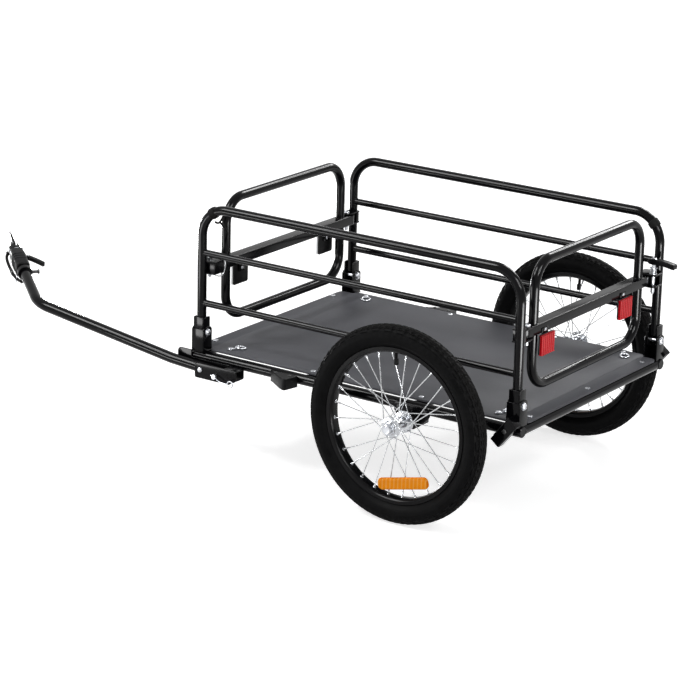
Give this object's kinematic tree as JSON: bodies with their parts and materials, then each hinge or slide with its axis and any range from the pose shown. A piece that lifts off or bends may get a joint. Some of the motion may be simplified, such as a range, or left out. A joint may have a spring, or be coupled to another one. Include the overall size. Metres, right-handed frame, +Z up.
{
  "type": "bicycle cargo trailer",
  "caption": "Bicycle cargo trailer: tubular bed with rail sides and swinging gates, laced spoke wheels, folding drawbar, swivelling coupler and hitch plate",
  "frame": {"origin": "on the ground under the middle of the outline seen from above", "axes": "-X is the way it is towed, where the drawbar is; +X is the rear gate; -Y is the side of the drawbar, the left seen from behind the bicycle looking forward; +Z is up"},
  "size_m": [1.469, 0.7486, 0.543],
  "materials": {
    "frame_paint": "glossy black powder coat",
    "deck": "matte dark grey board with a fine grain",
    "zinc": "bright zinc plate",
    "bright_wire": "polished steel",
    "rim_paint": "semi-gloss black paint",
    "tyre_rubber": "black rubber with a studded tread",
    "black_rubber": "matte black rubber",
    "black_plastic": "satin black plastic",
    "red_lens": "moulded prism lens",
    "clear_lens": "moulded prism lens",
    "amber_lens": "moulded prism lens"
  },
  "bodies": {
    "bed": {"base_frame": "frame_paint", "deck_board": "deck", "left_side_panel": "frame_paint", "right_side_panel": "frame_paint", "front_left_pivot_bolt": "zinc", "front_right_pivot_bolt": "zinc", "rear_left_pivot_bolt": "zinc", "rear_right_pivot_bolt": "zinc", "rear_gate_hinge_pin": "zinc", "front_gate_hinge_pin": "zinc", "front_latch_pin": "zinc", "front_left_tie": "black_rubber", "rear_right_tie": "black_rubber", "left_axle_receiver": "frame_paint", "right_axle_receiver": "frame_paint", "left_axle": "zinc", "right_axle": "zinc", "left_wheel_guard": "frame_paint", "right_wheel_guard": "frame_paint", "left_rear_foot": "frame_paint", "right_rear_foot": "frame_paint", "front_left_lashing_ring_tab": "zinc", "front_right_lashing_ring_tab": "zinc", "rear_left_lashing_ring_tab": "zinc", "rear_right_lashing_ring_tab": "zinc", "hitch_bracket": "frame_paint", "drawbar_pivot_bolt": "zinc"},
    "rear_gate": {"rear_gate_loop": "frame_paint", "rear_gate_bar": "frame_paint", "rear_left_reflector": "red_lens", "rear_right_reflector": "red_lens"},
    "front_gate": {"front_gate_loop": "frame_paint", "front_gate_bar": "frame_paint", "front_left_reflector": "clear_lens", "front_right_reflector": "clear_lens"},
    "rear_latch": {"rear_latch_pin": "zinc", "rear_latch_spring": "zinc"},
    "rear_latch_handle": {"rear_latch_lever": "black_plastic"},
    "front_bow": {"front_latch_bow": "bright_wire"},
    "drawbar_arm": {"drawbar": "frame_paint"},
    "lock_pin": {"drawbar_lock_pin": "zinc"},
    "coupler": {"coupler_sleeve": "frame_paint", "safety_strap": "black_rubber"},
    "coupler_handle": {"coupler_lever": "black_plastic"},
    "bicycle_plate": {"hitch_plate": "frame_paint"},
    "left_wheel": {"left_wheel_tyre": "tyre_rubber", "left_wheel_inner_tube": "black_rubber", "left_wheel_rim": "rim_paint", "left_wheel_hub_and_spokes": "bright_wire", "left_wheel_spoke_reflector": "amber_lens"},
    "right_wheel": {"right_wheel_tyre": "tyre_rubber", "right_wheel_inner_tube": "black_rubber", "right_wheel_rim": "rim_paint", "right_wheel_hub_and_spokes": "bright_wire", "right_wheel_spoke_reflector": "amber_lens"},
    "front_left_ring": {"front_left_lashing_ring": "zinc"},
    "front_right_ring": {"front_right_lashing_ring": "zinc"},
    "rear_left_ring": {"rear_left_lashing_ring": "zinc"},
    "rear_right_ring": {"rear_right_lashing_ring": "zinc"}
  },
  "joints": [
    {"name": "left_wheel_spin", "type": "hinge", "parent": "bed", "child": "left_wheel", "pos_m": [0.45155, -0.334, 0.2], "axis": [0, 1, 0], "continuous": true},
    {"name": "right_wheel_spin", "type": "hinge", "parent": "bed", "child": "right_wheel", "pos_m": [0.45155, 0.334, 0.2], "axis": [0, 1, 0], "continuous": true},
    {"name": "rear_gate_swing", "type": "hinge", "parent": "bed", "child": "rear_gate", "pos_m": [0.67255, -0.235, 0.4045], "axis": [0, 0, -1], "range_deg": [0, 120]},
    {"name": "front_gate_swing", "type": "hinge", "parent": "bed", "child": "front_gate", "pos_m": [-0.06945, 0.235, 0.4045], "axis": [0, 0, -1], "range_deg": [0, 120]},
    {"name": "rear_latch_lift", "type": "slide", "parent": "bed", "child": "rear_latch", "axis": [0, 0, 1], "range_m": [0, 0.039]},
    {"name": "rear_latch_turn", "type": "hinge", "parent": "rear_latch", "child": "rear_latch_handle", "pos_m": [0.68375, 0.235, 0.444], "axis": [0, -1, 0], "range_deg": [0, 100]},
    {"name": "front_bow_swing", "type": "hinge", "parent": "bed", "child": "front_bow", "pos_m": [-0.08065, -0.235, 0.425], "axis": [-1, 0, 0], "range_deg": [0, 25]},
    {"name": "front_left_ring_flip", "type": "hinge", "parent": "bed", "child": "front_left_ring", "pos_m": [-0.01099, -0.23235, 0.2385], "axis": [0.8192, -0.5736, 0], "range_deg": [0, 150]},
    {"name": "front_right_ring_flip", "type": "hinge", "parent": "bed", "child": "front_right_ring", "pos_m": [-0.01099, 0.23235, 0.2385], "axis": [-0.8192, -0.5736, 0], "range_deg": [0, 150]},
    {"name": "rear_left_ring_flip", "type": "hinge", "parent": "bed", "child": "rear_left_ring", "pos_m": [0.62901, -0.23235, 0.2385], "axis": [0.8192, -0.5736, 0], "range_deg": [0, 150]},
    {"name": "rear_right_ring_flip", "type": "hinge", "parent": "bed", "child": "rear_right_ring", "pos_m": [0.62901, 0.23235, 0.2385], "axis": [-0.8192, -0.5736, 0], "range_deg": [0, 150]},
    {"name": "drawbar_fold", "type": "hinge", "parent": "bed", "child": "drawbar_arm", "pos_m": [-0.04545, -0.296, 0.204], "axis": [0, -1, 0], "range_deg": [0, 150]},
    {"name": "lock_pin_pull", "type": "slide", "parent": "bed", "child": "lock_pin", "axis": [0, -1, 0], "range_m": [0, 0.012]},
    {"name": "coupler_swivel", "type": "hinge", "parent": "drawbar_arm", "child": "coupler", "pos_m": [-0.63555, -0.18329, 0.29814], "axis": [-0.7768, 0.5932, 0.2113], "range_deg": [-45, 45]},
    {"name": "coupler_lever_turn", "type": "hinge", "parent": "coupler", "child": "coupler_handle", "pos_m": [-0.63445, -0.1577, 0.30131], "axis": [0.1679, -0.1282, 0.9774], "range_deg": [0, 90]},
    {"name": "hitch_plate_pitch", "type": "hinge", "parent": "coupler", "child": "bicycle_plate", "pos_m": [-0.67439, -0.15362, 0.3087], "axis": [-0.6069, -0.7947, 0], "range_deg": [-30, 30]}
  ]
}
